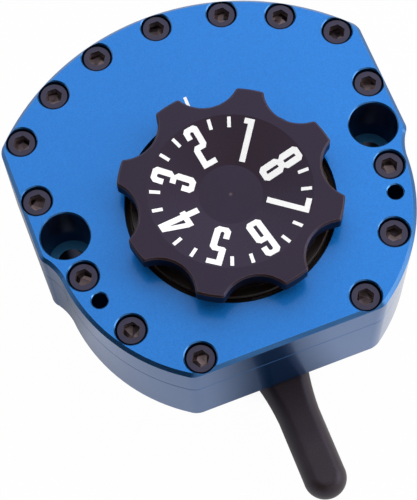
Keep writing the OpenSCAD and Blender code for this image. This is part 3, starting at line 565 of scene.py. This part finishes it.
# Radius of the numerals' feet, and their angles clockwise from the rear
NUMERAL_FOOT = 8.15
FIRST_NUMERAL = 35.2
NUMERAL_STEP = 45
# Ticks, in pairs between the numerals: width and radii, then middle and half of a pair's angle
TICK = (0.8, 15.6, 18.0)
TICK_MIDDLE = 12.66
TICK_HALF = 7.5
# Index line: width, radii and place to the side
INDEX = (0.75, 24.8, 28.6, -0.28)
# Height of the ink over the surface, and how much of that is ink
LAYER = 0.03
INK_SHARE = 0.8
# Width of the grid that lets a flat outline follow the dish, and how near a cut takes a vertex as on it
GRID = 0.6
ON_CUT = 1e-5


def dish_z(radius):
    """Height of the dial's dish."""
    share = (radius - DISH_FLOOR[0]) / (DISH_EDGE[0] - DISH_FLOOR[0])
    return DISH_FLOOR[1] + share * (DISH_EDGE[1] - DISH_FLOOR[1])


def bar(width, low, high, middle=0.0):
    """Outline of a bar that points outward."""
    left, right = middle - width / 2, middle + width / 2
    return [[(left, low), (right, low), (right, high), (left, high)]]


def filled(name, loops):
    """Flat mesh of one outline with its holes, cut into a fine grid."""
    curve = bpy.data.curves.new(name, "CURVE")
    curve.dimensions = "2D"
    curve.fill_mode = "BOTH"
    for loop in loops:
        spline = curve.splines.new("POLY")
        spline.points.add(len(loop) - 1)
        for point, (x, y) in zip(spline.points, loop):
            point.co = (x, y, 0, 1)
        spline.use_cyclic_u = True
    holder = placed(name, curve)
    mesh = evaluated(holder)
    bpy.data.objects.remove(holder)
    bpy.data.curves.remove(curve)
    grid = bmesh.new()
    grid.from_mesh(mesh)
    for axis in (0, 1):
        low = min(v.co[axis] for v in grid.verts)
        high = max(v.co[axis] for v in grid.verts)
        normal = [0, 0, 0]
        normal[axis] = 1
        for i in range(1, int((high - low) / GRID) + 1):
            spot = [0, 0, 0]
            spot[axis] = low + i * GRID
            bmesh.ops.bisect_plane(grid, geom=grid.verts[:] + grid.edges[:] + grid.faces[:],
                                   plane_co=spot, plane_no=normal, dist=ON_CUT)
    bmesh.ops.remove_doubles(grid, verts=grid.verts, dist=WELD)
    grid.to_mesh(mesh)
    grid.free()
    return mesh


def printed(name, loops, angle, height, body, material):
    """Thin layer of ink: a flat outline turned clockwise by an angle and laid on a surface of revolution."""
    mesh = filled(name, loops)
    turn = math.radians(angle)
    out = Vector((math.sin(turn), math.cos(turn)))
    right = Vector((math.cos(turn), -math.sin(turn)))
    for v in mesh.vertices:
        flat = v.co.x * right + v.co.y * out
        v.co = Vector((flat.x, flat.y + AXIS_Y, height(flat.length) + LAYER)) * MM
    mesh.materials.append(material)
    piece = placed(name, mesh)
    thick = piece.modifiers.new("ink", "SOLIDIFY")
    thick.thickness = LAYER * INK_SHARE * MM
    thick.offset = -1
    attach(piece, body)


def add_print():
    ink = dial_print()
    for i, (digit, (shift, loops)) in enumerate(NUMERALS.items()):
        moved = [[(x + shift, y + NUMERAL_FOOT) for x, y in loop] for loop in loops]
        printed("numeral_" + digit, moved, FIRST_NUMERAL - NUMERAL_STEP * i, dish_z, "dial", ink)
    for i in range(len(NUMERALS) - 1):
        for side in (-1, 1):
            name = "tick_%d%s" % (i + 1, "a" if side > 0 else "b")
            angle = TICK_MIDDLE - NUMERAL_STEP * i + side * TICK_HALF
            printed(name, bar(*TICK), angle, dish_z, "dial", ink)
    printed("index_line", bar(*INDEX), 0, lambda radius: COVER_Z, "housing", ink)


# Light

# Sky: direction of its bright end, levels by the cosine from there, and strength
SKY_WAY = (0.38, 0.62, 0.69)
SKY_LEVELS = [(-0.3, 0.015), (0.0, 0.04), (0.3, 0.08), (0.5, 0.11), (0.6, 0.2),
              (0.72, 0.425), (0.85, 0.625), (0.95, 0.8), (1.0, 0.875)]
SKY_STRENGTH = 2.12
# Bright cards at the right, front and left: direction, cosines of the rim and the full part, and level
CARDS = [((0.87, -0.45, 0.20), 0.86, 0.95, 3.0),
         ((0.10, -0.93, 0.35), 0.86, 0.96, 0.75),
         ((-0.75, 0.45, 0.48), 0.80, 0.95, 1.1)]
# Key lamp: place and width in metres, and power in watts
KEY_PLACE = (0.5, -0.07, 0.43)
KEY_WIDTH = 0.4
KEY_POWER = 1.5


def add_world():
    world = bpy.data.worlds.new("studio")
    scene.world = world
    t = Tree(world)
    way = t.add("TexCoord").outputs["Generated"]
    over = t.vector("DOT_PRODUCT", way, SKY_WAY)
    light = t.ramp(t.span(over, -1, 1), [((cosine + 1) / 2, grey(level)) for cosine, level in SKY_LEVELS])
    dome = t.add("Background", {"Color": light, "Strength": SKY_STRENGTH}).outputs[0]
    cards = 0.0
    for card_way, rim, full, level in CARDS:
        card = t.span(t.vector("DOT_PRODUCT", way, card_way), rim, full, 0.0, level)
        cards = t.math("ADD", cards, card)
    panel = t.add("Background", {"Color": grey(1), "Strength": cards}).outputs[0]
    both = t.add("AddShader", {0: dome, 1: panel}).outputs[0]
    t.links.new(both, t.add("OutputWorld").inputs["Surface"])


def add_key():
    """Round lamp that looks at the part."""
    data = bpy.data.lights.new("key", "AREA")
    data.shape = "DISK"
    data.size = KEY_WIDTH
    data.energy = KEY_POWER
    lamp = placed("key", data)
    lamp.location = KEY_PLACE
    lamp.rotation_euler = (-Vector(KEY_PLACE)).to_track_quat("-Z", "Y").to_euler()


# Floor

FLOOR_Z = -14.6
FLOOR_HALF = 6000
FLECK_SCALE = 40.0
# Middle of the painted shadow under the part, and the radii between which it ends
SHADOW_PATCH_MIDDLE = (-1.5, 3.5, 0)
SHADOW_PATCH_END = (35, 42)
# Shade that the camera sees: how far it reaches, openness where it starts and ends, and white beyond it
SHADE_REACH = 60
SHADE_OPEN = (0.08, 0.24)
SHADE_WHITE = 0.985
# White in reflections: radii between which it starts, and those between which it is full all round; nearer
# the part, reflections show the lit floor with its real shade and its painted shadow
MIRROR_START = (36, 54)
MIRROR_FULL = (70, 120)
MIRROR_FULL_LEVEL = 0.95
# Levels of that white along a line to the front, out to a limit on both sides; the low levels, to the left
# and rear, are painted shade seen in reflections
FRONT = (0.5, -0.87, 0)
FRONT_LEVELS = [(-24, 0.28), (-13, 0.88), (5, 0.78), (38, 0.75), (52, 1.0)]
FRONT_LIMIT = 60
# Less of it beside the arm, as a painted shadow of the arm seen in reflections: reach, direction and
# openness, and where along that line it starts
ARM_REACH = 14.2
ARM_WAY = (0.90, 0.05, 0.43)
ARM_OPEN = (0.60, 0.97)
ARM_START = (18, 34)


def add_floor():
    """White to the camera apart from shade under the part, where it is painted dark as a painted shadow;
    pale as a light; and white in reflections, with painted shade near the part, to its left and rear, and
    beside the arm.
    """
    half, z = FLOOR_HALF * MM, FLOOR_Z * MM
    corners = [(-half, -half, z), (half, -half, z), (half, half, z), (-half, half, z)]
    mesh = bpy.data.meshes.new("floor")
    mesh.from_pydata(corners, [], [(0, 1, 2, 3)])
    floor = placed("floor", mesh)
    t = Tree(bpy.data.materials.new("floor"))
    place = t.add("TexCoord").outputs["Object"]
    middle = t.vector("SUBTRACT", place, tuple(v * MM for v in SHADOW_PATCH_MIDDLE))
    out = t.vector("LENGTH", t.vector("MULTIPLY", middle, (1 / MM, 1 / MM, 0)))
    toward = t.vector("DOT_PRODUCT", place, FRONT)
    pale = t.mix(t.noise(place, FLECK_SCALE), grey(0.48), grey(0.52))
    # Painted shadow: the floor is painted dark under the part
    pale = t.mix(t.span(out, *SHADOW_PATCH_END), grey(0.06), pale)
    plain = t.add("BsdfDiffuse", {"Color": pale}).outputs[0]
    white = t.add("Emission", {"Color": grey(1), "Strength": 1.0}).outputs[0]
    path = t.add("LightPath").outputs
    under = t.add("AmbientOcclusion", {"Distance": SHADE_REACH * MM}, samples=16).outputs["AO"]
    shown = t.math("MULTIPLY", path["Is Camera Ray"], t.span(under, *SHADE_OPEN, 0.0, SHADE_WHITE))
    mirrored = t.math("MAXIMUM", path["Is Glossy Ray"], path["Is Transmission Ray"])
    mirrored = t.math("MULTIPLY", mirrored, t.span(out, *MIRROR_START))
    stops = [((at + FRONT_LIMIT) / (2 * FRONT_LIMIT), grey(level)) for at, level in FRONT_LEVELS]
    side = t.ramp(t.span(toward, -FRONT_LIMIT * MM, FRONT_LIMIT * MM), stops)
    full = t.span(out, *MIRROR_FULL, 0.0, MIRROR_FULL_LEVEL)
    mirrored = t.math("MULTIPLY", mirrored, t.math("MAXIMUM", side, full))
    values = {"Distance": ARM_REACH * MM, "Normal": ARM_WAY}
    near = t.add("AmbientOcclusion", values, samples=8).outputs["AO"]
    start, end = (v * MM for v in ARM_START)
    shade = t.math("MULTIPLY", t.span(near, *ARM_OPEN, 1.0, 0.0), t.span(toward, start, end))
    mirrored = t.math("MULTIPLY", mirrored, t.math("SUBTRACT", 1.0, shade))
    blend = t.add("MixShader", {0: t.math("MAXIMUM", shown, mirrored), 1: plain, 2: white})
    t.links.new(blend.outputs[0], t.add("OutputMaterial").inputs["Surface"])
    mesh.materials.append(t.owner)


add_camera()
finish_nodes()
add_knob()
add_print()
add_world()
add_key()
add_floor()
